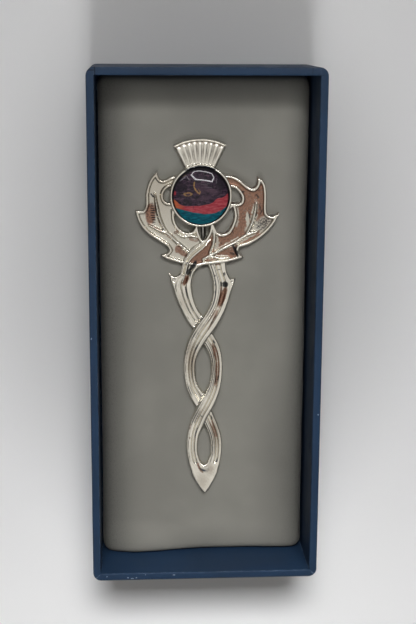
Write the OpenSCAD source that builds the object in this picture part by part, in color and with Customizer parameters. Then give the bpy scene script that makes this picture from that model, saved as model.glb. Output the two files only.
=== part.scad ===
// Thistle kilt pin with a round domed stone, lying on a foam pad in an open box tray.
// Millimetres. The tray stands on z = 0 and its long side runs along Y.

/* [Tray] */
// Outside width of the tray
tray_width = 56; // [50:1:70]
// Outside length of the tray
tray_length = 126; // [120:1:150]
// Outside height of the tray
tray_height = 25.4; // [22:0.2:34]
// Thickness of the wrapped board
board = 1.9; // [1.2:0.1:2.6]
// Outside radius of the upright corners
tray_corner = 2.0; // [0.6:0.1:4]

/* [Pad] */
// Height of the pad's upper face above the floor that the tray stands on
pad_top = 12.2; // [10:0.2:16]
// Gap round the pad and under it
pad_gap = 0.3; // [0.1:0.1:0.6]
// Radius of the pad's upright corners
pad_corner = 1.6; // [0.5:0.1:4]
// Width of the slit's lips above the wire
slit_lips = 0.2; // [0.1:0.1:0.6]

/* [Pin on the pad] */
// Centre of the stone, measured from the middle of the tray across it
pin_x = -0.9; // [-3:0.1:3]
// Centre of the stone, measured from the middle of the tray along it
pin_y = 32; // [30:0.5:34]
// Turn of the pin on the pad, in degrees
pin_turn = 1; // [-2:0.5:3]
// Gap between pieces that rest on or sit in each other
seat_gap = 0.1; // [0.05:0.05:0.2]

/* [Setting and stone] */
// Outside radius of the setting ring
ring_radius = 7.55; // [7.3:0.05:7.8]
// Wall of the setting ring
ring_wall = 0.5; // [0.4:0.05:0.7]
// Height of the setting ring above the casting's back
ring_height = 3.0; // [2.4:0.1:3.6]
// Rise of the stone above the ring
stone_rise = 1.8; // [1.4:0.1:3.4]

/* [Tuft] */
// Distance from the stone's centre to the tuft's outer edge
tuft_reach = 13.6; // [12.5:0.1:15]
// Angle between the tuft's two sides, in degrees
tuft_angle = 56; // [45:1:65]
// Number of flutes
flutes = 9; // [8:1:11]
// Width of the rim round the tuft's end
tuft_rim = 0.5; // [0.4:0.1:0.8]
// Rise of that rim above the tuft's plate
tuft_rim_rise = 0.45; // [0.3:0.05:0.6]

/* [Leaves] */
// Thickness of the leaves' sunk ground
leaf_ground = 1.1; // [0.8:0.1:1.4]
// Height of the leaves' rims and veins
leaf_rim = 1.8; // [1.6:0.1:2.2]
// Width of the rims
rim_width = 0.75; // [0.6:0.05:0.9]

/* [Stems] */
// Height of a stem's edge where it lies alone
stem_top = 1.8; // [1.6:0.1:2.2]
// Height of the stem that passes over, at a crossing
stem_over = 2.6; // [2.4:0.1:3]

/* [Back] */
// Thickness of the pin's wire
wire_d = 0.9; // [0.7:0.1:1.2]
// Depth of the wire's middle below the casting's back
wire_drop = 1.9; // [1.6:0.1:2.4]
// Place of the wire, measured across the casting from the stone's centre
wire_x = 0.6; // [0.4:0.1:0.8]

/* [Hidden] */

casting_back = pad_top + seat_gap;
stone_radius = ring_radius - ring_wall - seat_gap;
cup_floor = 0.8;
inner_corner = 0.5;
ring_chamfer = [0.15, 0.3];
ring_to_girdle = 0.2;
rim_step = 0.15;
rim_sink = 0.02;
rim_inset = 0.03;
thorn_ground = leaf_ground + 0.2;
point_ground = stem_top - 0.15;
// Flutes start under the ring, reach into each other and lie sunk in the plate
flute_start = ring_radius - 0.6;
flute_overlap = 1.05;
flute_sink = 0.3;
// Their facets are turned a little, so that those of two neighbours never lie in one place
facet_turn = 8;
inner_width = tray_width - 2 * board;
inner_length = tray_length - 2 * board;

// The wire runs from the hinge block, behind the stone, to the catch near the point
hinge_y = 2.5;
hinge_size = [3, 5, 2.9];
catch_y = -71.5;
catch_size = [1.4, 2.6, 2.9];
pocket_foot = -18;
pocket_margin = 0.6;

// Outline of the left leaf, one table for each stretch between two of its points. Columns: x, y.
left_top = [[-5.6, 5.0], [-7.4, 4.6], [-8.7, 3.9], [-9.7, 4.0], [-10.2, 4.8], [-10.5, 5.9]];
left_side = [
    [-10.5, 5.9], [-11.9, 4.6], [-12.9, 2.6], [-13.4, 0.4], [-13.4, -2.0], [-14.2, -3.5],
    [-16.0, -3.3],
];
left_sweep = [[-16.0, -3.3], [-15.6, -5.3], [-14.5, -7.5], [-12.7, -9.4], [-10.4, -11.0], [-8.5, -12.3]];
left_notch = [[-8.5, -12.3], [-7.9, -13.3], [-8.6, -14.1], [-10.1, -14.5]];
left_foot = [[-10.1, -14.5], [-8.6, -15.5], [-6.6, -16.2], [-4.8, -16.7]];

// Outline of the right leaf, from its foot up to the ring. Columns: x, y.
right_foot = [[-0.8, -17.6], [0.2, -17.3], [2.0, -17.1], [5.2, -16.85], [8.0, -16.2], [10.4, -15.5]];
right_notch = [[10.4, -15.5], [9.4, -14.7], [9.1, -13.8], [9.4, -13.0]];
right_sweep = [[9.4, -13.0], [11.8, -12.3], [14.4, -10.8], [16.6, -8.9], [18.2, -6.9], [19.2, -4.8]];
right_side = [
    [19.2, -4.8], [17.5, -5.5], [16.1, -4.6], [16.1, -1.6], [16.0, 1.4], [15.3, 3.3], [13.9, 4.2],
];
right_top = [[13.9, 4.2], [13.9, 2.6], [12.9, 1.4], [11.5, 2.0], [9.8, 3.5], [7.8, 4.6], [5.4, 5.0]];

// Holes through the leaves; the ring closes their inner sides. Columns: x, y.
left_eye = [[-7.2, 2.3], [-8.2, 1.8], [-8.9, 0.9], [-9.1, 0.0], [-8.8, -1.0], [-8.1, -1.6], [-7.2, -1.6]];
right_eye = [[7.2, 1.9], [8.4, 1.5], [9.4, 0.5], [10.0, -0.7], [9.8, -1.8], [8.9, -2.2], [7.2, -2.0]];
left_crescent = [
    [-6.5, -4.5], [-6.4, -5.9], [-5.7, -7.5], [-4.5, -8.7], [-3.2, -9.1], [-2.0, -8.7],
    [-1.4, -7.6],
];
right_crescent = [
    [7.8, -3.0], [8.2, -5.2], [7.7, -7.1], [6.7, -8.9], [5.3, -9.6], [4.0, -9.1], [3.1, -7.2],
];
throat = [[-0.9, -7.2], [-0.6, -9.0], [0.0, -10.6], [0.6, -11.1], [1.3, -10.3], [2.0, -8.9], [2.3, -7.2]];

// Veins raised on the leaves. Columns: x, y, width.
left_vein = [
    [-12.9, -6.9, 0.5], [-10.3, -8.4, 1.0], [-8.2, -9.3, 1.1], [-6.1, -11.3, 1.0],
    [-3.0, -14.0, 0.9],
];
left_rib = [
    [-11.2, 0.8, 0.4], [-10.8, -2.2, 0.9], [-10.2, -5.2, 1.0], [-8.9, -8.2, 0.8],
    [-7.2, -10.0, 0.6],
];
left_inner = [[-6.4, -8.8, 0.5], [-4.6, -10.0, 0.8], [-2.6, -9.9, 0.8], [-0.9, -10.3, 0.5]];
right_vein = [
    [13.9, -9.2, 0.5], [11.4, -9.9, 1.0], [8.2, -11.8, 1.0], [4.6, -13.6, 1.0], [0.2, -15.9, 0.9],
];
right_rib = [[13.5, -1.9, 0.4], [13.3, -4.2, 0.9], [12.5, -7.2, 1.0], [11.1, -9.7, 0.7]];
right_foot_rib = [[1.0, -15.2, 0.5], [3.0, -15.3, 0.7], [4.6, -15.6, 0.7], [6.9, -15.4, 0.4]];
right_inner = [[2.9, -8.2, 0.6], [3.2, -10.2, 0.9], [2.9, -12.2, 0.9], [1.9, -14.4, 0.6]];
arch = [
    [6.4, -16.1, 0.5], [2.4, -16.6, 0.9], [-0.2, -17.0, 1.0], [-2.1, -18.6, 1.0],
    [-2.8, -20.8, 0.9], [-3.1, -23.4, 0.4],
];
point_lip = [
    [-1.7, -66.4, 0.4], [-1.3, -68.2, 0.8], [-0.2, -69.2, 1.0], [0.9, -68.6, 0.8],
    [1.5, -66.8, 0.4],
];

// Edges of the two stems, from the leaves to the point. Columns: left x, left y, right x, right y, top.
ease = 0.5 * (stem_top + stem_over);
stem_right = [
    [1.2, -16.4, 6.1, -16.4, stem_top - 0.2],
    [1.6, -17.6, 6.1, -17.6, stem_top - 0.1],
    [2.2, -19.2, 6.3, -19.2, stem_top],
    [2.65, -21.8, 7.5, -21.9, stem_top],
    [2.65, -24.2, 7.2, -24.4, stem_top],
    [2.1, -27.0, 6.3, -27.3, stem_top],
    [0.7, -29.5, 5.1, -29.9, ease],
    [-1.2, -31.8, 3.5, -32.6, stem_over],
    [-2.7, -34.2, 1.6, -35.1, stem_over],
    [-3.8, -36.7, 0.1, -37.4, ease],
    [-4.5, -39.4, -1.2, -39.8, stem_top],
    [-4.9, -42.4, -1.9, -42.5, stem_top],
    [-4.8, -45.4, -1.9, -45.4, stem_top],
    [-4.3, -48.4, -1.3, -48.0, stem_top],
    [-3.2, -51.3, 0.1, -50.0, stem_top],
    [-1.9, -53.6, 1.3, -52.5, stem_top],
    [-0.8, -55.9, 2.3, -55.2, stem_top],
    [0.3, -58.6, 3.4, -57.9, stem_top],
    [1.3, -61.1, 4.35, -61.0, stem_top],
    [1.65, -64.2, 4.6, -64.1, stem_top],
    [1.5, -66.6, 4.3, -67.1, stem_top],
    [0.9, -68.6, 3.7, -69.6, stem_top],
    [0.0, -70.2, 2.6, -72.2, stem_top - 0.1],
];
stem_left = [
    [-4.7, -16.4, -0.8, -17.0, stem_top - 0.3],
    [-5.2, -18.6, -1.7, -18.9, stem_top - 0.2],
    [-7.2, -21.5, -2.4, -21.6, stem_top],
    [-6.9, -24.0, -2.35, -24.0, stem_top],
    [-5.9, -26.8, -1.8, -26.5, stem_top],
    [-4.7, -29.5, -0.9, -28.7, stem_top],
    [-3.4, -31.9, 0.3, -30.4, stem_top],
    [-2.1, -33.7, 1.4, -32.3, stem_top],
    [-0.8, -35.7, 2.5, -34.5, stem_top],
    [0.5, -37.8, 3.8, -36.8, stem_top],
    [1.5, -39.9, 4.65, -39.4, stem_top],
    [2.0, -42.6, 4.95, -42.4, stem_top],
    [1.9, -45.4, 4.85, -45.3, stem_top],
    [1.3, -47.9, 4.35, -48.3, ease],
    [0.2, -50.1, 3.4, -51.2, stem_over],
    [-1.1, -52.5, 2.0, -54.1, stem_over],
    [-2.3, -54.8, 0.7, -56.5, ease],
    [-3.4, -57.3, -0.3, -58.9, stem_top],
    [-4.1, -60.0, -1.2, -60.9, stem_top],
    [-4.5, -62.9, -1.6, -63.2, stem_top],
    [-4.4, -65.8, -1.6, -65.9, stem_top],
    [-4.0, -68.2, -1.1, -67.9, stem_top],
    [-3.5, -70.0, -0.6, -69.2, stem_top],
    [-2.6, -72.2, 0.2, -70.4, stem_top - 0.1],
];

// Edges of the stalk that comes down from the setting and lies over the left leaf. Columns as above.
stalk = [
    [1.4, -10.1, 2.5, -10.9, leaf_ground + 0.3],
    [0.0, -11.5, 1.2, -12.4, stem_top + 0.2],
    [-1.8, -12.6, -0.5, -13.9, stem_top + 0.3],
    [-3.2, -14.0, -2.0, -15.1, stem_top + 0.3],
    [-4.3, -15.6, -3.1, -16.4, stem_top + 0.3],
    [-4.9, -17.4, -3.6, -17.9, stem_top + 0.2],
    [-5.3, -19.4, -4.0, -19.6, stem_top + 0.1],
    [-5.7, -21.5, -4.6, -21.7, stem_top - 0.4],
];

// Section across a stem: two rims, a fine ridge and a broad groove. Columns: share of the width, depth.
stem_section = [
    [0.00, 0.70], [0.04, 0.20], [0.10, 0.00], [0.19, 0.30], [0.28, 0.34], [0.37, 0.04],
    [0.47, 0.62], [0.62, 0.62], [0.72, 0.10], [0.90, 0.00], [0.97, 0.20], [1.00, 0.70],
];

// Thorns at the tops of the stems, and the rim along each. Columns: x, y; for the rims x, y, width.
left_thorn = [
    [-4.9, -18.4], [-5.4, -19.4], [-6.3, -19.9], [-7.2, -19.8], [-8.1, -19.1],
    [-7.8, -20.8], [-7.3, -22.4], [-6.9, -23.8], [-5.4, -23.2],
];
left_thorn_top = [
    [-4.8, -18.9, 0.5], [-5.5, -19.8, 0.6], [-6.4, -20.3, 0.6], [-7.3, -20.1, 0.5],
    [-7.8, -19.6, 0.3],
];
left_thorn_side = [[-7.8, -19.6, 0.3], [-7.4, -20.9, 0.6], [-6.9, -22.5, 0.7], [-6.4, -24.3, 0.4]];
right_thorn = [
    [5.6, -18.4], [6.1, -19.2], [6.6, -20.4], [7.4, -20.9], [8.4, -20.8],
    [8.0, -22.1], [7.5, -23.4], [6.8, -24.9], [5.6, -23.4],
];
right_thorn_top = [[5.8, -19.0, 0.4], [6.3, -20.4, 0.6], [7.2, -21.2, 0.6], [8.1, -21.0, 0.3]];
right_thorn_side = [[8.1, -21.0, 0.3], [7.6, -22.2, 0.6], [7.0, -23.9, 0.7], [6.4, -25.8, 0.4]];

// Flat point where the stems meet. Columns: x, y.
point = [
    [-3.9, -68.6], [-3.1, -71.3], [-2.1, -73.5], [-1.1, -75.2], [0.0, -76.6], [1.1, -75.1], [2.1, -73.4],
    [3.2, -71.2], [4.0, -68.6], [1.2, -68.6], [-0.2, -69.2], [-1.2, -68.6],
];

// A row on the smooth curve through four rows, at share t of the way from b to c
function between(a, b, c, d, t) =
    b + t * ((c - a) + t * ((2 * a - 5 * b + 4 * c - d) + t * (3 * b - a - 3 * c + d))) / 2;

// A table with steps rows in place of each row but the last
function smooth(rows, steps) =
    let (last = len(rows) - 1)
    [
        for (i = [0:last - 1])
            for (k = [0:steps - 1])
                between(rows[max(i - 1, 0)], rows[i], rows[i + 1], rows[min(i + 2, last)], k / steps),
        rows[last]
    ];

// All rows but the last, for a stretch that another one goes on from
function start_of(rows) = [for (i = [0:len(rows) - 2]) rows[i]];

// Solid skin over rings of points, closed at both ends
module skin(rings) {
    n = len(rings[0]);
    last = len(rings) - 1;
    points = [for (ring = rings) each ring];
    first_end = [for (k = [0:n - 1]) k];
    last_end = [for (k = [n - 1:-1:0]) last * n + k];
    sides = [
        for (i = [0:last - 1])
            for (k = [0:n - 1])
                let (j = (k + 1) % n)
                [i * n + k, (i + 1) * n + k, (i + 1) * n + j, i * n + j]
    ];
    polyhedron(points, concat([first_end], sides, [last_end]), convexity = 10);
}

// Raised vein with an arched section. Rows of the table: x, y, width
module vein(rows, top, steps = 4) {
    foot = 0.4;
    line = smooth(rows, steps);
    last = len(line) - 1;
    rings = [
        for (i = [0:last])
            let (
                p = line[i],
                ahead = line[min(i + 1, last)] - line[max(i - 1, 0)],
                away = [-ahead[1], ahead[0]] / norm([ahead[0], ahead[1]]),
                rise = (top - leaf_ground) * min(1, 2 * p[2])
            )
            [
                for (a = [0:45:180])
                    [p[0] + away[0] * cos(a) * p[2] / 2, p[1] + away[1] * cos(a) * p[2] / 2,
                     leaf_ground - 0.1 + (rise + 0.1) * sin(a)],
                [p[0] - away[0] * p[2] / 2, p[1] - away[1] * p[2] / 2, foot],
                [p[0] + away[0] * p[2] / 2, p[1] + away[1] * p[2] / 2, foot],
            ]
    ];
    skin(rings);
}

// Stem with rims and grooves along it. Rows of the table: left x, left y, right x, right y, top
module stem(rows, steps = 2) {
    rings = [
        for (row = smooth(rows, steps))
            [
                [row[0], row[1], 0],
                [row[2], row[3], 0],
                for (i = [len(stem_section) - 1:-1:0])
                    let (s = stem_section[i])
                    [row[0] + s[0] * (row[2] - row[0]), row[1] + s[0] * (row[3] - row[1]), row[4] - s[1]],
            ]
    ];
    skin(rings);
}

// Plate with a rim that steps in as it rises, for the outline drawn by its child
module rimmed(ground, top, width) {
    steps = 2;
    rise = (top - ground) / steps;
    linear_extrude(ground) children();
    for (i = [0:steps - 1])
        translate([0, 0, ground + i * rise - rim_sink])
            linear_extrude(rise + rim_sink)
                difference() {
                    offset(delta = -rim_step * i) children();
                    offset(delta = rim_step * i - width) children();
                }
}

// Outline of both leaves together
module leaves_outline() {
    polygon(concat(
        start_of(smooth(left_top, 2)), start_of(smooth(left_side, 2)), start_of(smooth(left_sweep, 2)),
        start_of(smooth(left_notch, 2)), smooth(left_foot, 2), smooth(right_foot, 2), smooth(right_notch, 2),
        smooth(right_sweep, 2), smooth(right_side, 2), smooth(right_top, 2)
    ));
}

module leaves_flat() {
    difference() {
        leaves_outline();
        for (hole = [left_eye, right_eye, left_crescent, right_crescent, throat])
            polygon(smooth(hole, 2));
    }
}

// Raised ground with no rim of its own
module ground_plate(outline, height) {
    linear_extrude(height)
        polygon(outline);
}

// Sector of a circle about the stone's centre, as wide as the tuft
module fan(reach) {
    steps = 20;
    polygon([
        [0, 0],
        for (i = [0:steps])
            let (a = (i / steps - 0.5) * tuft_angle)
            [reach * sin(a), reach * cos(a)]
    ]);
}

// Fan of low flutes that widen away from the stone, on a thin plate with a rim round its end
module tuft() {
    pitch = tuft_angle / flutes;
    half = tan(pitch / 2) * flute_overlap;
    flute_end = (tuft_reach - tuft_rim) / (1 + half);
    linear_extrude(leaf_ground) fan(tuft_reach);
    linear_extrude(leaf_ground + tuft_rim_rise)
        difference() {
            offset(delta = -rim_inset) fan(tuft_reach);
            circle(tuft_reach - tuft_rim, $fn = 96);
        }
    for (i = [0:flutes - 1])
        rotate((i + 0.5) * pitch - tuft_angle / 2)
            hull()
                for (reach = [flute_start, flute_end])
                    translate([0, reach, leaf_ground - flute_sink])
                        rotate(facet_turn)
                            sphere(reach * half, $fn = 12);
}

// Cup that holds the stone, before its hollow is cut
module setting() {
    rotate_extrude($fn = 72)
        polygon([
            [0, 0], [ring_radius, 0], [ring_radius, ring_height - ring_chamfer[1]],
            [ring_radius - ring_chamfer[0], ring_height], [0, ring_height]
        ]);
}

// Hollow of the cup, through all that meets under the ring
module cup_hollow() {
    translate([0, 0, cup_floor])
        cylinder(r = ring_radius - ring_wall, h = ring_height, $fn = 72);
}

module on_pad() {
    translate([pin_x, pin_y, casting_back])
        rotate(pin_turn)
            children();
}

module rounded_block(width, length, height, radius) {
    linear_extrude(height) {
        square([width - 2 * radius, length], center = true);
        square([width, length - 2 * radius], center = true);
        for (x = [-1, 1])
            for (y = [-1, 1])
                translate([x * (width / 2 - radius), y * (length / 2 - radius)])
                    circle(radius);
    }
}

module box_tray() {
    color("midnightblue")
        difference() {
            rounded_block(tray_width, tray_length, tray_height, tray_corner);
            translate([0, 0, board])
                rounded_block(inner_width, inner_length, tray_height, inner_corner);
        }
}

module pad() {
    depth = hinge_size[2] + 2 * seat_gap + pocket_margin;
    pocket_width = hinge_size[0] + pocket_margin;
    pocket_head = hinge_y + hinge_size[1] / 2 + pocket_margin / 2;
    color("dimgray")
        difference() {
            translate([0, 0, board + pad_gap])
                rounded_block(inner_width - 2 * pad_gap, inner_length - 2 * pad_gap,
                              pad_top - board - pad_gap, pad_corner);
            on_pad() {
                translate([wire_x - pocket_width / 2, pocket_foot, -depth])
                    cube([pocket_width, pocket_head - pocket_foot, depth + 1]);
                translate([wire_x - slit_lips / 2, catch_y, -wire_drop])
                    cube([slit_lips, pocket_foot - catch_y + 1, wire_drop + 1]);
                translate([wire_x, pocket_foot + 1, -wire_drop])
                    rotate([90, 0, 0])
                        cylinder(d = wire_d + pocket_margin, h = pocket_foot - catch_y + 1, $fn = 32);
                translate([wire_x - catch_size[0] / 2 - pocket_margin / 2, catch_y - catch_size[1] / 2
                           - pocket_margin / 2, -depth])
                    cube([catch_size[0] + pocket_margin, catch_size[1] + pocket_margin, depth + 1]);
            }
        }
}

// Leaves, tuft, setting and stems in one, before the cup's hollow is cut
module casting_body() {
    tuft();
    rimmed(leaf_ground, leaf_rim, rim_width) leaves_flat();
    setting();
    for (rows = [left_vein, left_rib, left_inner, right_vein, right_rib, right_foot_rib, right_inner])
        vein(rows, leaf_rim);
    for (rows = [left_thorn_top, left_thorn_side, right_thorn_top, right_thorn_side])
        vein(rows, stem_top, 2);
    for (rows = [arch, point_lip])
        vein(rows, stem_top + 0.1);
    for (outline = [left_thorn, right_thorn])
        ground_plate(outline, thorn_ground);
    ground_plate(point, point_ground);
    for (rows = [stalk, stem_right, stem_left])
        stem(rows);
}

module thistle_casting() {
    color("silver")
        on_pad()
            difference() {
                casting_body();
                cup_hollow();
            }
}

module stone() {
    girdle = ring_height - ring_to_girdle - cup_floor;
    dome_r = (stone_radius ^ 2 + stone_rise ^ 2) / (2 * stone_rise);
    color("indigo")
        on_pad()
            translate([0, 0, cup_floor + seat_gap])
                intersection() {
                    cylinder(r = stone_radius, h = girdle + stone_rise, $fn = 96);
                    translate([0, 0, girdle + stone_rise - dome_r])
                        sphere(dome_r, $fn = 96);
                }
}

// Hinge block, wire and catch in one piece on the casting's back
module brooch_pin() {
    color("gainsboro")
        on_pad() {
            translate([wire_x - hinge_size[0] / 2, hinge_y - hinge_size[1] / 2, -hinge_size[2] - seat_gap])
                cube(hinge_size);
            translate([wire_x, hinge_y, -wire_drop])
                rotate([90, 0, 0])
                    cylinder(d = wire_d, h = hinge_y - catch_y, $fn = 32);
            translate([wire_x - catch_size[0] / 2, catch_y - catch_size[1] / 2, -catch_size[2] - seat_gap])
                cube(catch_size);
        }
}

box_tray();
pad();
thistle_casting();
stone();
brooch_pin();
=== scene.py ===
import math

import bpy
from mathutils import Matrix, Vector, noise


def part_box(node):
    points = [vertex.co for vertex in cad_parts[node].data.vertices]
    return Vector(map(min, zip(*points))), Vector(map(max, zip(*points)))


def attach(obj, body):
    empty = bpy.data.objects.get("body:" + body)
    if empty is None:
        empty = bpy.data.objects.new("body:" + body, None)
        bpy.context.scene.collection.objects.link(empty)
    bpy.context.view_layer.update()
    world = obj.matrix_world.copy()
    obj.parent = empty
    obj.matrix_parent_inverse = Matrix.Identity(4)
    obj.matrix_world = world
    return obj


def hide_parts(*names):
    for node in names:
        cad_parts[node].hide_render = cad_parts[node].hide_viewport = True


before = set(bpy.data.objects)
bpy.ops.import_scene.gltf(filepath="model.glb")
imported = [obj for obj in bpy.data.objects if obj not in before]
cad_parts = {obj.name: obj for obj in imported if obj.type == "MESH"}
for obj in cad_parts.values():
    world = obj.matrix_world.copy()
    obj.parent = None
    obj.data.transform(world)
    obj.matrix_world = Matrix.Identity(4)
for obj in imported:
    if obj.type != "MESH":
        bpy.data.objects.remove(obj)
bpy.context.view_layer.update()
print("frame loaded:", ", ".join(sorted(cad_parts)))

mm = 0.001
toMm = (1 / mm, 1 / mm, 1 / mm)
trayLow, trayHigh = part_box("box_tray")
padLow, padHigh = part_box("pad")
castLow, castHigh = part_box("thistle_casting")
stoneLow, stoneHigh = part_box("stone")

# the pin's own place on the pad; everything on the pin is measured from the middle of its stone
pinPlace = {
    "centre": Vector(((stoneLow.x + stoneHigh.x) / 2, (stoneLow.y + stoneHigh.y) / 2, castLow.z)),
    "turn": math.radians(1),
}


# small helpers for the modelling

def deselectAll():
    if bpy.context.object and bpy.context.object.mode != "OBJECT":
        bpy.ops.object.mode_set(mode="OBJECT")
    bpy.ops.object.select_all(action="DESELECT")


def makeActive(piece):
    deselectAll()
    piece.select_set(True)
    bpy.context.view_layer.objects.active = piece


def settle(piece):
    makeActive(piece)
    bpy.ops.object.transform_apply(location=True, rotation=True, scale=True)


def addBlock(name, low, high):
    deselectAll()
    middle = [(a + b) / 2 for a, b in zip(low, high)]
    bpy.ops.mesh.primitive_cube_add(size=1, location=middle)
    block = bpy.context.object
    block.name = name
    block.scale = [b - a for a, b in zip(low, high)]
    settle(block)
    return block


def pick(piece, kind, parts, test):
    # selects the parts that pass the test and leaves edit mode open
    makeActive(piece)
    bpy.ops.object.mode_set(mode="EDIT")
    bpy.ops.mesh.select_mode(type=kind)
    bpy.ops.mesh.select_all(action="DESELECT")
    bpy.ops.object.mode_set(mode="OBJECT")
    for part in getattr(piece.data, parts):
        part.select = test(part)
    bpy.ops.object.mode_set(mode="EDIT")


def pickFaces(piece, test):
    pick(piece, "FACE", "polygons", test)


def pickEdges(piece, test):
    # the test gets the places of the edge's two ends
    pick(piece, "EDGE", "edges", lambda edge: test(*(piece.data.vertices[end].co for end in edge.vertices)))


def pickPoints(piece, test):
    pick(piece, "VERT", "vertices", lambda point: test(point.co))


def leaveEdit():
    bpy.ops.object.mode_set(mode="OBJECT")


def modify(piece, kind, **values):
    makeActive(piece)
    added = piece.modifiers.new(kind.lower(), kind)
    for name, value in values.items():
        setattr(added, name, value)
    bpy.ops.object.modifier_apply(modifier=added.name)


def smoothShade(piece, degrees):
    makeActive(piece)
    bpy.ops.object.shade_smooth_by_angle(angle=math.radians(degrees))


def pinPoint(x, y, z):
    # a point in millimetres on the pin, turned into the row frame
    turned = Matrix.Rotation(pinPlace["turn"], 3, "Z") @ Vector((x, y, z))
    return pinPlace["centre"] + turned * mm


# helpers for the finishes, and the shader groups that several of them share

def node(tree, kind, **values):
    made = tree.nodes.new("ShaderNode" + kind)
    for name, value in values.items():
        setattr(made, name, value)
    return made


def feed(tree, socket, source):
    # a socket is linked, a number or a colour is set
    if isinstance(source, bpy.types.NodeSocket):
        tree.links.new(source, socket)
    else:
        socket.default_value = source


def feedAll(tree, sockets, sources):
    for socket, source in zip(sockets, sources):
        feed(tree, socket, source)


def arrange(tree):
    # lays the nodes out in columns, each node left of what it feeds
    columns = {made.name: 0 for made in tree.nodes}
    links = [(link.from_node.name, link.to_node.name) for link in tree.links]
    moved = True
    while moved:
        moved = False
        for source, target in links:
            if columns[source] <= columns[target]:
                columns[source] = columns[target] + 1
                moved = True
    filled = {}
    for made in tree.nodes:
        column = columns[made.name]
        made.location = (-220 * column, -320 * filled.get(column, 0))
        filled[column] = filled.get(column, 0) + 1


def sums(tree, operation, *inputs):
    made = node(tree, "Math", operation=operation)
    feedAll(tree, made.inputs, inputs)
    return made.outputs[0]


def times(tree, first, *others):
    for other in others:
        first = sums(tree, "MULTIPLY", first, other)
    return first


def vectorSums(tree, operation, *inputs):
    made = node(tree, "VectorMath", operation=operation)
    feedAll(tree, made.inputs, inputs)
    return made.outputs["Value" if operation in ("LENGTH", "DOT_PRODUCT") else "Vector"]


def fade(tree, value, start, end, low=0.0, high=1.0):
    made = node(tree, "MapRange", interpolation_type="SMOOTHSTEP")
    feedAll(tree, made.inputs, (value, start, end, low, high))
    return made.outputs["Result"]


def mixColour(tree, share, first, second, blend="MIX"):
    made = node(tree, "Mix", data_type="RGBA", blend_type=blend)
    feedAll(tree, (made.inputs[0], made.inputs[6], made.inputs[7]), (share, first, second))
    return made.outputs[2]


def noiseAt(tree, vector, scale, detail=4.0, roughness=0.5, distortion=0.0, output="Fac"):
    made = node(tree, "TexNoise")
    sockets = [made.inputs[name] for name in ("Vector", "Scale", "Detail", "Roughness", "Distortion")]
    feedAll(tree, sockets, (vector, scale, detail, roughness, distortion))
    return made.outputs[output]


def mapped(tree, vector, middle=(0, 0, 0), turn=0.0, scale=(1, 1, 1), kind="POINT"):
    made = node(tree, "Mapping", vector_type=kind)
    feedAll(tree, made.inputs, (vector, middle, (0, 0, turn), scale))
    return made.outputs[0]


def axesOf(tree, vector):
    split = node(tree, "SeparateXYZ")
    feed(tree, split.inputs[0], vector)
    return split.outputs


def startGroup(name, inputs, outputs):
    group = bpy.data.node_groups.new(name, "ShaderNodeTree")
    group.interface.new_socket("Vector", in_out="INPUT", socket_type="NodeSocketVector")
    for label, value in inputs.items():
        group.interface.new_socket(label, in_out="INPUT", socket_type="NodeSocketFloat").default_value = value
    for label in outputs:
        group.interface.new_socket(label, in_out="OUTPUT", socket_type="NodeSocketFloat")
    return group, group.nodes.new("NodeGroupInput").outputs, group.nodes.new("NodeGroupOutput").inputs


def useGroup(tree, group, **values):
    made = node(tree, "Group", node_tree=group)
    for label, source in values.items():
        feed(tree, made.inputs[label], source)
    return made.outputs


def makeEdgeWear():
    # worn outer edges: a wide bevel normal differs from the face's own normal there
    group, given, result = startGroup("edgeWear", {"Radius": 0.0004, "Amount": 0.5, "Scale": 900.0}, ["Mask"])
    rounded = node(group, "Bevel", samples=4)
    feed(group, rounded.inputs["Radius"], given["Radius"])
    geometry = node(group, "NewGeometry")
    turned = vectorSums(group, "DOT_PRODUCT", rounded.outputs[0], geometry.outputs["Normal"])
    broken = fade(group, noiseAt(group, given["Vector"], given["Scale"], 5.0), 0.42, 0.66)
    feed(group, result["Mask"], times(group, fade(group, turned, 0.985, 0.86), broken, given["Amount"]))
    arrange(group)
    return group


def makeFineGrain():
    # fine tooth of a surface, as a height and as a mask of slow blotches
    group, given, result = startGroup("fineGrain", {"Grain": 4000.0, "Blotch": 90.0}, ["Height", "Blotch"])
    feed(group, result["Height"], noiseAt(group, given["Vector"], given["Grain"], 6.0, 0.65))
    slow = noiseAt(group, given["Vector"], given["Blotch"], 3.0)
    feed(group, result["Blotch"], fade(group, slow, 0.35, 0.68))
    arrange(group)
    return group


edgeWear = makeEdgeWear()
fineGrain = makeFineGrain()
print("shader groups made")


def startMaterial(name):
    material = bpy.data.materials.new(name)
    material.use_nodes = True
    tree = material.node_tree
    place = node(tree, "TexCoord").outputs["Object"]
    return material, tree, tree.nodes["Principled BSDF"].inputs, place


def bumpFrom(tree, height, strength, distance, under=None):
    made = node(tree, "Bump")
    feed(tree, made.inputs["Height"], height)
    made.inputs["Strength"].default_value = strength
    made.inputs["Distance"].default_value = distance
    if under is not None:
        feed(tree, made.inputs["Normal"], under)
    return made.outputs[0]


def dress(piece, material):
    arrange(material.node_tree)
    piece.data.materials.clear()
    piece.data.materials.append(material)


def onPin(tree, vector):
    # Object coordinates become millimetres on the pin, from the middle of the stone
    back = Matrix.Rotation(-pinPlace["turn"], 3, "Z") @ (pinPlace["centre"] / mm)
    return mapped(tree, vector, -back, -pinPlace["turn"], toMm)


def wobbled(tree, vector, scale, amount):
    # coordinates pushed about by a slow noise, for ragged outlines
    cloud = noiseAt(tree, vector, scale, 3.0, output="Color")
    centred = vectorSums(tree, "SUBTRACT", cloud, (0.5, 0.5, 0.5))
    return vectorSums(tree, "MULTIPLY_ADD", centred, (amount, amount, 0), vector)


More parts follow.
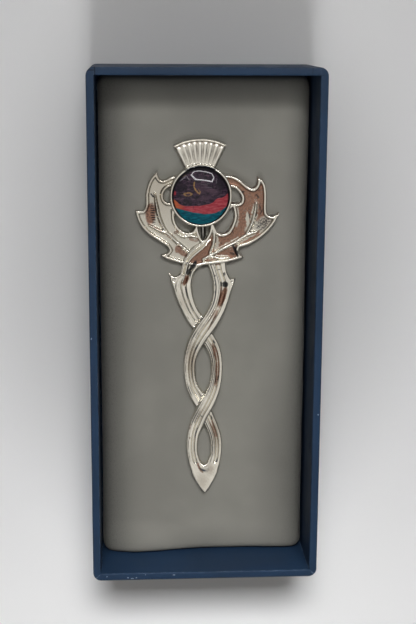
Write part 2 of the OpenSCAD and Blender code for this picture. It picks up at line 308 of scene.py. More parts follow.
def spot(tree, vector, centre, size, turn, line=0.0, edge=(1.15, 0.75)):
    # a soft oval, 1 inside and 0 outside; with a line width only its outline is drawn
    oval = mapped(tree, vector, (*centre, 0), math.radians(turn), (*size, 1000), "TEXTURE")
    length = vectorSums(tree, "LENGTH", oval)
    if not line:
        return fade(tree, length, *edge)
    away = sums(tree, "ABSOLUTE", sums(tree, "SUBTRACT", length, 1.0))
    return fade(tree, away, line * 1.3, line * 0.5)


def paintMarks(tree, vector, marks, under, over, mask=None, edge=(1.15, 0.75), covered=None):
    # lays soft ovals of one colour over another, and gathers what they cover
    for centre, size, turn, strength in marks:
        share = times(tree, spot(tree, vector, centre, size, turn, edge=edge), strength)
        if mask is not None:
            share = times(tree, share, mask)
        under = mixColour(tree, share, under, over)
        if covered is not None:
            covered = sums(tree, "MAXIMUM", covered, share)
    return under, covered


# box tray: board wrapped in navy paper

tray = {
    "board": 1.9,
    "corner": 2.0,
    "rimRound": 0.32,
    "footRound": 0.5,
    "creaseWidth": 0.16,
    "creaseDepth": 0.09,
    "paper": (0.011, 0.031, 0.071, 1),
    "paperDark": (0.008, 0.024, 0.056, 1),
    "paperWorn": (0.22, 0.28, 0.36, 1),
    # scuffs on the rim: middle, half size in millimetres, turn in degrees, strength
    "scuffs": (
        ((-19.4, -62.3), (0.22, 0.16), 0, 1), ((-18.3, -62.5), (0.35, 0.12), 0, 1),
        ((-17.3, -62.3), (0.2, 0.18), 0, 1), ((-7.9, -61.8), (0.3, 0.2), 0, 1),
        ((-27.6, -0.8), (0.15, 0.3), 0, 1), ((-24.6, -61.9), (0.18, 0.12), 0, 1),
        ((-15.0, -61.6), (0.12, 0.1), 0, 1), ((27.4, -20.5), (0.12, 0.22), 0, 1),
    ),
    # where one paper ends on the other, at the far corners
    "seams": (
        ((-25.92, 61.95), (0.15, 1.5), 0, 0.9), ((-26.9, 62.25), (1.2, 0.14), 0, 0.9),
        ((24.2, 62.2), (0.12, 1.3), 0, 0.4), ((26.3, 61.2), (1.0, 0.12), 0, 0.35),
    ),
    "paperFold": (0.002, 0.006, 0.016, 1),
}


def crease(piece, point, across, inside):
    # cuts a fold line into the paper where the test says, and sinks its middle
    pickFaces(piece, lambda face: inside(face.center))
    bpy.ops.mesh.bisect(plane_co=point, plane_no=across)
    bpy.ops.mesh.bevel(offset=tray["creaseWidth"] / 2 * mm, segments=2, affect="EDGES")
    leaveEdit()
    normal = Vector(across).normalized()
    on = lambda co: abs((co - Vector(point)).dot(normal)) < 0.01 * mm and inside(co)
    pickPoints(piece, on)
    bpy.ops.transform.shrink_fatten(value=-tray["creaseDepth"] * mm)
    leaveEdit()


def makeTray():
    piece = addBlock("trayBoard", trayLow, trayHigh)
    upright = lambda a, b: abs(a.z - b.z) > 1 * mm
    pickEdges(piece, upright)
    bpy.ops.mesh.bevel(offset=tray["corner"] * mm, segments=8, affect="EDGES")
    leaveEdit()
    pickFaces(piece, lambda face: face.normal.z > 0.9)
    bpy.ops.mesh.inset(thickness=tray["board"] * mm)
    bpy.ops.mesh.extrude_region_move(
        TRANSFORM_OT_translate={"value": (0, 0, -(trayHigh.z - trayLow.z) + tray["board"] * mm)})
    leaveEdit()
    rim = lambda a, b: min(a.z, b.z) > trayHigh.z - 0.01 * mm and not crossing(a, b)
    pickEdges(piece, rim)
    bpy.ops.mesh.bevel(offset=tray["rimRound"] * mm, segments=4, affect="EDGES")
    leaveEdit()
    pickEdges(piece, lambda a, b: max(a.z, b.z) < trayLow.z + 0.01 * mm)
    bpy.ops.mesh.bevel(offset=tray["footRound"] * mm, segments=3, affect="EDGES")
    leaveEdit()
    wallX = trayHigh.x - tray["board"] * mm
    wallY = trayHigh.y - tray["board"] * mm
    high = trayHigh.z - 1.5 * mm
    for side in (-1, 1):
        # the end paper at the top is folded over the side paper, the one at the foot meets it in a mitre
        crease(piece, (side * wallX, wallY, 0), (1, 0, 0),
               lambda co: co.z > high and co.y > wallY - 1 * mm and co.x * side > wallX - 1 * mm)
        crease(piece, (side * wallX, -wallY, 0), (1, side, 0),
               lambda co: co.z > high and co.y < -wallY + 1 * mm and co.x * side > wallX - 1 * mm)
    for point in piece.data.vertices:
        point.co.z = min(point.co.z, trayHigh.z)
    makeActive(piece)
    bpy.ops.object.mode_set(mode="EDIT")
    bpy.ops.mesh.select_all(action="SELECT")
    bpy.ops.mesh.normals_make_consistent(inside=False)
    leaveEdit()
    smoothShade(piece, 40)
    return piece


def crossing(a, b):
    # an edge on the rim that runs from the outer outline to the inner one
    def onOuter(co):
        past = [max(abs(co[axis]) - trayHigh[axis] + 2 * mm, 0) for axis in (0, 1)]
        return max(past) > 1.1 * mm or math.hypot(*past) > 1.5 * mm
    return onOuter(a) != onOuter(b)


def paperMaterial():
    material, tree, finish, place = startMaterial("navyPaper")
    grain = useGroup(tree, fineGrain, Vector=place, Grain=5200.0, Blotch=70.0)
    wear = useGroup(tree, edgeWear, Vector=place, Radius=0.45 * mm, Amount=0.55, Scale=700.0)
    colour = mixColour(tree, grain["Blotch"], tray["paperDark"], tray["paper"])
    colour = mixColour(tree, times(tree, grain["Height"], 0.05), colour, tray["paperWorn"])
    colour = mixColour(tree, wear["Mask"], colour, tray["paperWorn"])
    inMm = mapped(tree, place, scale=toMm)
    ragged = wobbled(tree, inMm, 4.0, 0.35)
    onRim = fade(tree, axesOf(tree, inMm)[2], trayHigh.z / mm - 1.0, trayHigh.z / mm - 0.4)
    colour = paintMarks(tree, ragged, tray["scuffs"], colour, tray["paperWorn"], onRim)[0]
    colour = paintMarks(tree, inMm, tray["seams"], colour, tray["paperFold"], onRim)[0]
    feed(tree, finish["Base Color"], colour)
    feed(tree, finish["Roughness"], fade(tree, grain["Blotch"], 0, 1, 0.5, 0.62))
    finish["Specular IOR Level"].default_value = 0.22
    feed(tree, finish["Normal"], bumpFrom(tree, grain["Height"], 0.35, 0.03 * mm))
    return material


trayBoard = makeTray()
dress(trayBoard, paperMaterial())
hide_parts("box_tray")
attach(trayBoard, "root")
print("tray made:", len(trayBoard.data.polygons), "faces")


# foam pad: pressed in between the walls, with a pocket for the hinge

pad = {
    "cornerRound": 2.6,
    "edgeRound": 1.7,
    "voxel": 0.5,
    "pull": 0.35,
    "crown": 0.28,
    # how far the top falls beside each wall, and over what width
    "edgeDrop": {"left": (1.2, 9.0), "right": (0.9, 6.0), "far": (1.1, 9.0), "near": (0.05, 4.0)},
    # the foam swells up a little in the near corners: middle, reach, height
    "swells": (((-17.0, -60.5), (18.0, 9.0), 2.1), ((23.0, -60.5), (12.0, 7.0), 0.6)),
    "wave": 0.14,
    "pocket": ((-1.2, -0.6), (2.4, 5.3), 3.6),
    "slot": ((0.0, -18.0), (1.2, -0.5), 2.7),
    "catchPocket": ((-0.4, -73.1), (1.6, -69.9), 3.6),
    "tunnel": (0.6, -1.9, 0.85),
    "light": (0.245, 0.239, 0.214, 1),
    "dark": (0.205, 0.200, 0.179, 1),
    # the colour of the painted shade beside the walls
    "beside": (0.05, 0.05, 0.047, 1),
    # painted shade: the skin is painted darker where it goes down beside the walls: axis, side, width, share
    "shadedSides": ((0, -1, 13.0, 0.94), (0, 1, 7.5, 0.74), (1, 1, 8.5, 0.66), (1, -1, 9.0, 0.30)),
    # painted shade over a stretch along the right side: middle, half size, turn, share
    "rightShade": (((25.0, -38.0), (15.0, 48.0), 0, 0.5),),
}


def cutPocket(piece, corners):
    (x0, y0), (x1, y1), deep = corners
    cutter = addBlock("pocketCutter", (x0 * mm, y0 * mm, -deep * mm), (x1 * mm, y1 * mm, 2 * mm))
    cutter.rotation_euler.z = pinPlace["turn"]
    cutter.location = pinPlace["centre"]
    settle(cutter)
    modify(piece, "BOOLEAN", operation="DIFFERENCE", object=cutter, solver="EXACT")
    bpy.data.objects.remove(cutter)


def cutTunnel(piece):
    x, z, radius = pad["tunnel"]
    start, end = pad["slot"][0][1] + 1, pad["catchPocket"][1][1] - 1
    deselectAll()
    bpy.ops.mesh.primitive_cylinder_add(vertices=16, radius=radius * mm, depth=(start - end) * mm,
                                        location=pinPoint(x, (start + end) / 2, z),
                                        rotation=(math.radians(90), 0, pinPlace["turn"]))
    cutter = bpy.context.object
    settle(cutter)
    modify(piece, "BOOLEAN", operation="DIFFERENCE", object=cutter, solver="EXACT")
    bpy.data.objects.remove(cutter)


def shapeFoam(piece):
    # sides pull in between the corners, the top crowns away from the metal and waves a little
    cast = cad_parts["thistle_casting"]
    halfX, halfY = padHigh.x, padHigh.y
    for point in piece.data.vertices:
        co = point.co
        across, along = co.x / halfX, co.y / halfY
        height = (co.z - padLow.z) / (padHigh.z - padLow.z)
        slow = noise.noise(co * 60) + 0.5 * noise.noise(co * 160)
        pull = pad["pull"] * mm * height * (0.55 + 0.45 * slow)
        if abs(across) > 0.93:
            co.x -= math.copysign(pull * (1 - along ** 4), co.x)
        if along > 0.96:
            co.y -= pull * (1 - across ** 4)
        if height > 0.7:
            found, near, normal, index = cast.closest_point_on_mesh(co)
            apart = (near - co).length if found else 1
            rise = min(max((apart - 0.6 * mm) / (5 * mm), 0), 1)
            rise = rise * rise * (3 - 2 * rise)
            edge = min((1 - abs(across)) * halfX, (1 - abs(along)) * halfY)
            hold = min(max(edge / (6 * mm), 0), 1)
            wave = pad["wave"] * noise.noise(Vector((co.x * 90, co.y * 70, 3.1)))
            co.z += rise * hold * (pad["crown"] + wave) * mm
            room = {"left": halfX + co.x, "right": halfX - co.x, "far": halfY - co.y, "near": halfY + co.y}
            for side, (drop, reach) in pad["edgeDrop"].items():
                slope = 1 - min(max(room[side] / (reach * mm), 0), 1)
                co.z -= drop * mm * slope ** 2.2
            for middle, reach, lift in pad["swells"]:
                away = math.hypot((co.x / mm - middle[0]) / reach[0], (co.y / mm - middle[1]) / reach[1])
                share = max(1 - away, 0)
                co.z += lift * mm * share * share * (3 - 2 * share)


def makePad():
    piece = addBlock("foamPad", padLow, padHigh)
    pickEdges(piece, lambda a, b: abs(a.z - b.z) > 1 * mm)
    bpy.ops.mesh.bevel(offset=pad["cornerRound"] * mm, segments=6, affect="EDGES")
    leaveEdit()
    pickEdges(piece, lambda a, b: min(a.z, b.z) > padHigh.z - 0.01 * mm)
    bpy.ops.mesh.bevel(offset=pad["edgeRound"] * mm, segments=5, affect="EDGES")
    leaveEdit()
    for corners in (pad["pocket"], pad["slot"], pad["catchPocket"]):
        cutPocket(piece, corners)
    cutTunnel(piece)
    makeActive(piece)
    piece.data.remesh_voxel_size = pad["voxel"] * mm
    piece.data.remesh_voxel_adaptivity = 0
    bpy.ops.object.voxel_remesh()
    modify(piece, "SMOOTH", factor=0.5, iterations=4)
    shapeFoam(piece)
    makeActive(piece)
    bpy.ops.object.shade_smooth()
    return piece


def foamMaterial():
    material, tree, finish, place = startMaterial("greyFoam")
    grain = useGroup(tree, fineGrain, Vector=place, Grain=3000.0, Blotch=45.0)
    cells = node(tree, "TexVoronoi", feature="F1")
    feed(tree, cells.inputs["Vector"], place)
    cells.inputs["Scale"].default_value = 2600.0
    pores = fade(tree, cells.outputs["Distance"], 0.05, 0.5)
    colour = mixColour(tree, grain["Blotch"], pad["dark"], pad["light"])
    axes = axesOf(tree, place)
    # painted shade, darker towards each wall
    for axis, side, reach, share in pad["shadedSides"]:
        end = side * padHigh[axis]
        near = sums(tree, "POWER", fade(tree, axes[axis], end - side * reach * mm, end), 1.4)
        colour = mixColour(tree, times(tree, near, share), colour, pad["beside"])
    # painted shade along the right side
    inMm = mapped(tree, place, scale=toMm)
    colour = paintMarks(tree, inMm, pad["rightShade"], colour, pad["beside"], edge=(1.0, 0.2))[0]
    colour = mixColour(tree, times(tree, pores, 0.18), colour, pad["dark"])
    feed(tree, finish["Base Color"], colour)
    feed(tree, finish["Roughness"], fade(tree, grain["Height"], 0.3, 0.7, 0.84, 0.96))
    finish["Specular IOR Level"].default_value = 0.25
    finish["Sheen Weight"].default_value = 0.08
    finish["Sheen Roughness"].default_value = 0.4
    rough = bumpFrom(tree, grain["Height"], 0.25, 0.06 * mm)
    feed(tree, finish["Normal"], bumpFrom(tree, pores, 0.12, 0.03 * mm, rough))
    return material


foamPad = makePad()
dress(foamPad, foamMaterial())
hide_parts("pad")
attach(foamPad, "root")
print("pad made:", len(foamPad.data.polygons), "faces")


# the casting: one piece of bright plated metal, its sharp construction softened as a mould does

casting = {
    "merge": 0.002,
    "voxel": 0.125,
    "softness": 7,
    "afterwards": 3,
    "grow": 0.045,
    "faces": 192000,
    "ripple": 0.02,
    "rippleSize": 3.4,
    "ground": 1.1,
    "rim": 1.55,
    "tuftAngle": 56,
    "flutes": 9,
    "tuftHaze": 0.16,
    "silver": (0.86, 0.83, 0.745, 1),
    "shade": (0.42, 0.37, 0.305, 1),
    "sunk": (0.66, 0.635, 0.56, 1),
    "brown": (0.355, 0.205, 0.145, 1),
    "brownDark": (0.20, 0.115, 0.085, 1),
    "black": (0.022, 0.024, 0.03, 1),
    # brown and black marks, partly stains, partly painted reflection and shade in grooves: middle, half size
    # in millimetres, turn in degrees, strength
    "brownSpots": (
        ((-12.3, -4.3), (1.3, 2.75), -4, 1.0), ((-5.7, -13.2), (0.9, 1.1), -20, 0.9),
        ((-4.6, -14.2), (1.3, 0.7), -34, 0.9), ((-2.4, -10.8), (0.7, 0.45), -25, 0.7),
        ((-1.2, -11.1), (0.7, 0.4), 20, 0.6), ((-6.1, -8.9), (0.7, 0.45), 30, 0.6),
        ((-4.0, -21.0), (0.62, 1.5), -25, 1.0), ((5.05, -25.4), (0.8, 2.9), -20, 1.0),
        ((3.2, -29.9), (0.3, 1.6), -28, 0.85), ((2.0, -32.2), (0.2, 1.5), -33, 0.7),
        ((2.9, -39.5), (0.36, 2.4), 12, 0.95), ((3.3, -45.0), (0.34, 3.6), -2, 0.95),
        ((2.65, -59.5), (0.3, 2.8), 15, 0.85), ((-10.9, -7.8), (1.6, 0.18), -32, 0.8),
        ((-8.2, -9.9), (1.6, 0.15), -40, 0.7), ((1.7, -11.9), (0.35, 0.6), 0, 0.6),
        ((-1.45, -69.3), (0.3, 1.1), 18, 0.9), ((-0.85, -70.6), (0.26, 0.75), 48, 0.8),
        ((-3.6, -61.7), (0.16, 0.35), 0, 0.6), ((-3.4, -58.7), (0.14, 1.1), -20, 0.5),
    ),
    "blackSpots": (
        ((-2.1, -17.3), (0.5, 1.55), -38, 0.95), ((-3.15, -18.9), (0.48, 1.0), -25, 0.95),
        ((5.75, -22.2), (0.75, 0.8), -14, 0.95), ((8.4, -13.9), (0.42, 1.6), 24, 0.95),
        ((7.6, -14.6), (0.8, 0.3), -25, 0.6), ((10.3, 0.6), (0.45, 0.25), 10, 0.8),
        ((13.9, -0.5), (0.24, 0.7), 30, 0.7), ((-11.9, 0.3), (0.22, 0.6), 25, 0.85),
        ((-11.4, -0.1), (0.5, 0.18), -20, 0.7), ((14.8, -4.4), (0.18, 0.7), -30, 0.7),
        ((15.6, -6.9), (0.9, 0.2), 35, 0.7), ((14.4, -7.8), (0.8, 0.16), 30, 0.6),
        ((4.3, -18.5), (0.45, 0.16), -10, 0.7), ((5.5, -19.6), (0.28, 0.55), -15, 0.8),
        ((3.2, -20.0), (0.22, 0.28), 0, 0.5), ((2.0, -8.6), (0.1, 0.4), 0, 0.5),
        ((2.75, -36.7), (0.22, 0.5), 20, 0.85), ((1.9, -56.4), (0.2, 0.6), 15, 0.8),
        ((14.5, -3.3), (0.3, 0.9), 15, 0.6), ((11.9, -5.3), (0.16, 0.8), 13, 0.75),
        ((14.3, 0.9), (0.35, 0.2), 30, 0.6), ((3.15, -46.3), (0.12, 1.6), -3, 0.8),
        ((2.55, -38.2), (0.14, 0.6), 14, 0.7), ((2.55, -31.1), (0.13, 1.6), -31, 0.75),
    ),
    # bright places on the right leaf that the painted brown reflection leaves out
    "brightSpots": (
        ((13.1, -4.9), (0.75, 3.2), -9, 1.0), ((11.45, -6.2), (0.5, 2.0), 3, 1.0),
        ((12.9, -8.2), (2.3, 1.2), 18, 0.95),
        ((8.6, -5.1), (0.75, 2.9), 0, 0.8), ((16.2, -7.0), (3.1, 1.9), 27, 0.7),
        ((16.9, -8.3), (3.6, 0.9), 36, 0.9), ((1.9, -9.6), (0.9, 0.5), 0, 0.7),
        ((9.0, -2.2), (0.9, 0.4), 20, 0.6), ((8.5, -11.7), (5.8, 0.8), 24, 0.9),
        ((3.5, -15.4), (3.0, 0.55), 2, 0.9), ((3.7, -11.7), (0.6, 2.4), -4, 0.8),
    ),
    # broad painted shade on the bright metal
    "shadeSpots": (
        ((1.5, -70.3), (1.0, 1.7), -15, 0.65), ((-2.8, -41.5), (2.0, 6.0), 6, 0.85),
        ((2.9, -42.0), (1.6, 6.5), 0, 0.6), ((2.9, -60.5), (1.4, 5.5), 4, 0.65),
        ((-0.6, -73.4), (1.8, 2.6), 0, 0.45), ((-4.8, -26.5), (1.5, 3.6), 22, 0.35),
        ((-9.8, 1.5), (5.0, 7.0), 0, 0.4), ((-1.5, -33.0), (1.6, 2.6), -35, 0.30),
        ((-1.6, -55.5), (1.3, 2.2), -25, 0.25),
    ),
    # the crumbs in the outer lobe and the ripples on the left leaf: middle, half size, turn
    "crumbs": ((16.2, -6.9), (3.2, 1.6), 27),
    "rippled": ((-11.7, -4.3), (0.6, 2.7), 4),
    "meltTurns": 40,
    # places where the cast metal runs together: middle and reach in millimetres
    "melted": (
        (-2.5, -68.6, 2.6), (2.6, -68.6, 2.6), (0.0, -70.6, 2.0), (-2.1, -32.0, 2.4), (-0.7, -30.6, 2.2),
        (-1.8, -52.4, 2.8), (-0.4, -50.6, 2.6), (-6.6, -20.6, 1.8), (7.0, -21.6, 1.8), (-3.0, -60.5, 3.2),
        (-2.95, -64.5, 3.0), (-4.7, -24.6, 2.8), (-3.6, -28.2, 2.8), (-3.5, -37.6, 3.0), (-3.4, -41.8, 3.2),
        (-3.1, -45.6, 2.8), (-4.9, 11.2, 1.6), (-2.5, 12.0, 1.6), (0.0, 12.3, 1.6), (2.5, 12.0, 1.6),
        (4.9, 11.2, 1.6),
    ),
    # the lip inside the last loop stands up: middle, half size, turn, height
    "lip": ((-0.2, -69.75), (1.8, 1.1), -30, 0.36),
}


def copyNode(name, pieceName):
    deselectAll()
    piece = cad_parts[name].copy()
    piece.data = piece.data.copy()
    piece.name = pieceName
    piece.parent = None
    for key in list(piece.keys()):
        del piece[key]
    bpy.context.scene.collection.objects.link(piece)
    makeActive(piece)
    return piece


def melt(piece, places, turns):
    # smooths the metal further round a few places
    group = piece.vertex_groups.new(name="melt")
    middles = [(pinPoint(x, y, 1.5), reach * mm) for x, y, reach in places]
    for point in piece.data.vertices:
        share = max(1 - (point.co - middle).length / reach for middle, reach in middles)
        if share > 0:
            group.add([point.index], min(1, 2 * share), "REPLACE")
    modify(piece, "SMOOTH", factor=0.5, iterations=turns, vertex_group="melt")
    piece.vertex_groups.clear()


def raiseLip(piece):
    middle, size, turn, lift = casting["lip"]
    back = Matrix.Rotation(-pinPlace["turn"] - math.radians(turn), 3, "Z")
    for point in piece.data.vertices:
        away = back @ (point.co - pinPoint(*middle, 0)) / mm
        share = max(1 - math.hypot(away.x / size[0], away.y / size[1]), 0)
        if away.z > casting["ground"]:
            point.co.z += lift * mm * share * share * (3 - 2 * share)


def makeCasting():
    piece = copyNode("thistle_casting", "castThistle")
    bpy.ops.object.mode_set(mode="EDIT")
    bpy.ops.mesh.select_all(action="SELECT")
    bpy.ops.mesh.remove_doubles(threshold=casting["merge"] * mm)
    leaveEdit()
    piece.data.remesh_voxel_size = casting["voxel"] * mm
    piece.data.remesh_voxel_adaptivity = 0
    bpy.ops.object.voxel_remesh()
    modify(piece, "SMOOTH", factor=0.5, iterations=casting["softness"])
    melt(piece, casting["melted"], casting["meltTurns"])
    raiseLip(piece)
    full = 2 * len(piece.data.polygons)
    if full > casting["faces"]:
        modify(piece, "DECIMATE", decimate_type="COLLAPSE", ratio=casting["faces"] / full)
    modify(piece, "SMOOTH", factor=0.5, iterations=casting["afterwards"])
    modify(piece, "DISPLACE", mid_level=0.0, strength=casting["grow"] * mm)
    cloud = bpy.data.textures.new("castRipple", "CLOUDS")
    cloud.noise_scale = casting["rippleSize"] * mm
    modify(piece, "DISPLACE", texture=cloud, texture_coords="LOCAL", mid_level=0.5,
           strength=casting["ripple"] * mm)
    makeActive(piece)
    bpy.ops.object.shade_smooth()
    return piece


def paintTuft(tree, colour, axes, reach, mottle, inTuft):
    # the tuft's valleys hold dirt, most of it under the rim
    angle = times(tree, sums(tree, "ARCTAN2", axes[0], axes[1]),
                  180 / math.pi * casting["flutes"] / casting["tuftAngle"])
    valley = sums(tree, "PINGPONG", sums(tree, "ADD", angle, casting["flutes"] / 2), 0.5)
    line = times(tree, fade(tree, valley, 0.13, 0.05), fade(tree, mottle, 0.38, 0.6))
    underRim = times(tree, fade(tree, reach, 12.4, 12.7), fade(tree, reach, 13.15, 12.95))
    dots = times(tree, fade(tree, valley, 0.26, 0.12), underRim)
    ray = node(tree, "CombineXYZ")
    feedAll(tree, ray.inputs, (times(tree, angle, 1.9), times(tree, reach, 0.22)))
    rays = fade(tree, noiseAt(tree, ray.outputs[0], 1.0, 3.0, 0.6), 0.50, 0.62)
    colour = mixColour(tree, times(tree, rays, inTuft, 0.45), colour, casting["shade"])
    dirt = times(tree, inTuft, sums(tree, "MAXIMUM", times(tree, line, 0.35), times(tree, dots, 0.6)))
    colour = mixColour(tree, dirt, colour, casting["brownDark"])
    # painted shade over the top of the tuft
    onTop = fade(tree, reach, 12.9, 13.3)
    return mixColour(tree, times(tree, inTuft, onTop, 0.4), colour, casting["shade"])


def silverMaterial():
    material, tree, finish, place = startMaterial("silverPlate")
    onIt = onPin(tree, place)
    axes = axesOf(tree, onIt)
    across, along, height = axes
    reach = vectorSums(tree, "LENGTH", vectorSums(tree, "MULTIPLY", onIt, (1, 1, 0)))
    ragged = wobbled(tree, onIt, 2.2, 0.55)
    crumbly = wobbled(tree, onIt, 1.7, 1.3)
    mottle = noiseAt(tree, onIt, 2.6, 5.0, 0.65)
    grain = useGroup(tree, fineGrain, Vector=place, Grain=1500.0, Blotch=160.0)
    inTuft = times(tree, fade(tree, reach, 7.7, 8.2), fade(tree, along, 5.0, 6.0))
    lowest, highest = casting["ground"] + 0.15, casting["rim"]
    onLeaf = times(tree, fade(tree, height, highest, lowest), fade(tree, along, -17.6, -17.1),
                   fade(tree, along, 7.8, 7.2))
    # painted shade: the sunk ground of the leaves is painted darker
    colour = mixColour(tree, onLeaf, casting["silver"], casting["sunk"])
    geometry = node(tree, "NewGeometry")
    hollow = times(tree, fade(tree, geometry.outputs["Pointiness"], 0.487, 0.42),
                   fade(tree, along, 6.0, 8.0, 1.0, 0.2))
    colour = mixColour(tree, times(tree, hollow, 0.5), colour, casting["shade"])
    # painted shade keeps the rims of the left leaf not much brighter than its ground
    leftRim = times(tree, fade(tree, across, -6.4, -8.0), fade(tree, along, -18.0, -16.5),
                    fade(tree, height, lowest, highest))
    colour = mixColour(tree, times(tree, leftRim, 0.3), colour, casting["shade"])

    # painted reflection: the ground of the right leaf, right of the stalk, is painted brown all over for a
    # brown thing it mirrors
    stalkLine = sums(tree, "MINIMUM", sums(tree, "MULTIPLY_ADD", along, 1.15, 14.1), 2.4)
    rightOf = fade(tree, sums(tree, "SUBTRACT", across, stalkLine), -0.1, 0.4)
    brownReflection = times(tree, rightOf, fade(tree, along, 5.2, 4.4), onLeaf, fade(tree, mottle, 0.30, 0.42))
    for centre, size, turn, strength in casting["brightSpots"]:
        mark = spot(tree, crumbly, centre, size, turn)
        brownReflection = times(tree, brownReflection, sums(tree, "MULTIPLY_ADD", mark, -strength, 1.0))
    # the brown of the painted reflection, mottled and with black specks
    brown = mixColour(tree, fade(tree, mottle, 0.38, 0.60), casting["brownDark"], casting["brown"])
    specks = fade(tree, noiseAt(tree, onIt, 2.5, 4.0, 0.65), 0.54, 0.68)
    brown = mixColour(tree, times(tree, specks, 0.75), brown, casting["black"])
    # painted shade in broad soft spots
    colour = paintMarks(tree, crumbly, casting["shadeSpots"], colour, casting["shade"], edge=(1.4, 0.1))[0]
    colour = mixColour(tree, brownReflection, colour, brown)

    # dark crumbs lie in the bright part of the outer lobe
    grit = fade(tree, noiseAt(tree, onIt, 2.7, 3.0, 0.6), 0.46, 0.53)
    crumbs = times(tree, spot(tree, crumbly, *casting["crumbs"]), onLeaf, grit)
    colour = mixColour(tree, times(tree, crumbs, 0.8), colour, casting["black"])
    darkMarks = sums(tree, "MAXIMUM", brownReflection, crumbs)
    # the marks are partly stains and partly painted reflection and painted shade
    for marks, over in ((casting["brownSpots"], brown), (casting["blackSpots"], casting["black"])):
        colour, darkMarks = paintMarks(tree, ragged, marks, colour, over, covered=darkMarks)

    # dark ripples in the patch on the left leaf
    ripples = sums(tree, "SINE", sums(tree, "MULTIPLY_ADD", along, 11.0, times(tree, mottle, 5.0)))
    rippled = times(tree, spot(tree, ragged, *casting["rippled"]), fade(tree, ripples, -0.1, 0.5))
    colour = mixColour(tree, rippled, colour, casting["black"])
    colour = paintTuft(tree, colour, axes, reach, mottle, inTuft)
    # painted shadow: the ring is painted black inside below the tuft
    ringShade = times(tree, fade(tree, along, 5.9, 6.5), fade(tree, reach, 7.5, 7.3))
    feed(tree, finish["Base Color"], mixColour(tree, ringShade, colour, casting["black"]))
    finish["Metallic"].default_value = 1.0
    rough = fade(tree, grain["Blotch"], 0, 1, 0.12, 0.19)
    for mask, haze in ((darkMarks, 0.2), (inTuft, casting["tuftHaze"]), (onLeaf, 0.08)):
        rough = sums(tree, "MULTIPLY_ADD", mask, haze, rough)
    feed(tree, finish["Roughness"], rough)
    soft = bumpFrom(tree, noiseAt(tree, onIt, 0.35, 2.0, 0.4), 0.4, 0.08 * mm)
    feed(tree, finish["Normal"], bumpFrom(tree, mottle, 0.06, 0.03 * mm, soft))
    return material


castThistle = makeCasting()
dress(castThistle, silverMaterial())
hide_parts("thistle_casting")
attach(castThistle, "root")
print("casting made:", len(castThistle.data.polygons), "faces")


# the stone: a glossy dome over coloured bands

stone = {
    "girdleBelowRing": 0.2,
    "rings": 96,
    "edgeRound": 0.1,
    "curveReach": 7.0,
    # takes back the mean push of the cloudy noise, and moves bands and flecks 0.5 mm towards the tuft
    "bandShift": (0.25, 0.7, 0),
    # the middle of the ring's opening, and how far out the dome is painted black as the ring's shadow
    "ringMiddle": (-0.05, -0.26, 0),
    "ringShadowFade": (6.4, 6.72),
    "night": (0.008, 0.006, 0.011, 1),
    "purple": (0.032, 0.016, 0.033, 1),
    "plum": (0.080, 0.042, 0.066, 1),
    "red": (0.28, 0.023, 0.036, 1),
    "rose": (0.38, 0.068, 0.082, 1),
    "orange": (0.45, 0.12, 0.035, 1),
    "teal": (0.0, 0.13, 0.17, 1),
    "deepTeal": (0.0, 0.045, 0.075, 1),
    "gold": (0.34, 0.19, 0.06, 1),
    "lilac": (0.17, 0.15, 0.175, 1),
    # the colour of the painted shadow under the ring
    "edge": (0.004, 0.003, 0.005, 1),
    # flecks: middle, half size, turn, width of the outline or 0 for a full spot, colour, strength
    "flecks": (
        ((-3.25, 0.2), (0.85, 0.36), 0, 0.32, "gold", 0.6),
        ((-1.69, 2.5), (0.18, 0.75), -6, 0, "gold", 0.8),
        ((-1.53, 1.5), (0.2, 0.62), 26, 0, "gold", 0.9),
        ((-0.9, 0.65), (0.2, 0.75), 46, 0, "gold", 0.9),
        ((-0.36, 0.58), (0.16, 0.45), -21, 0, "gold", 0.75),
        ((-0.54, 1.18), (0.14, 0.45), 46, 0, "gold", 0.5),
        ((-3.95, 4.75), (0.26, 0.8), -48, 0, "gold", 0.85),
        ((-4.25, 3.95), (0.12, 1.05), -52, 0, "lilac", 0.95),
        ((-3.1, 3.95), (0.12, 0.8), 35, 0, "lilac", 0.95),
        ((-6.35, 0.4), (0.26, 0.6), 0, 0, "red", 0.95),
        ((1.1, 2.6), (1.3, 0.1), 3, 0, "lilac", 0.35),
        ((1.6, 1.8), (1.1, 0.12), -4, 0, "lilac", 0.3),
        ((0.3, 1.4), (1.6, 1.3), 0, 0, "plum", 0.35),
        ((2.6, 0.8), (1.5, 0.55), -12, 0, "plum", 0.6),
        ((0.6, -0.9), (2.0, 0.5), 6, 0, "plum", 0.45),
        ((4.9, 2.6), (1.3, 1.7), 20, 0, "night", 0.75),
        ((-4.9, 1.9), (1.1, 1.3), -15, 0, "night", 0.6),
        ((-3.3, -1.6), (1.5, 0.5), -8, 0, "night", 0.6),
        ((3.8, 3.2), (0.1, 0.8), -8, 0, "lilac", 0.5),
        # a painted glint
        ((4.7, -4.3), (0.35, 0.12), 35, 0, "lilac", 0.7),
        ((-2.0, -3.1), (0.1, 0.5), -12, 0, "purple", 0.5),
    ),
    # x and y in millimetres from the middle of the stone
    "redTop": (
        (-7, -0.9), (-6.4, -1.3), (-4.7, -2.5), (-2.6, -2.7), (0.4, -2.5), (2.8, -1.9), (3.7, -1.1),
        (5.2, -0.8), (7, 0.6),
    ),
    "tealTop": (
        (-7, -2.9), (-6, -3.25), (-3.9, -3.8), (-1.1, -4.4), (1.5, -4.7), (3, -4.6), (4.5, -4.1), (7, -2.6),
    ),
}


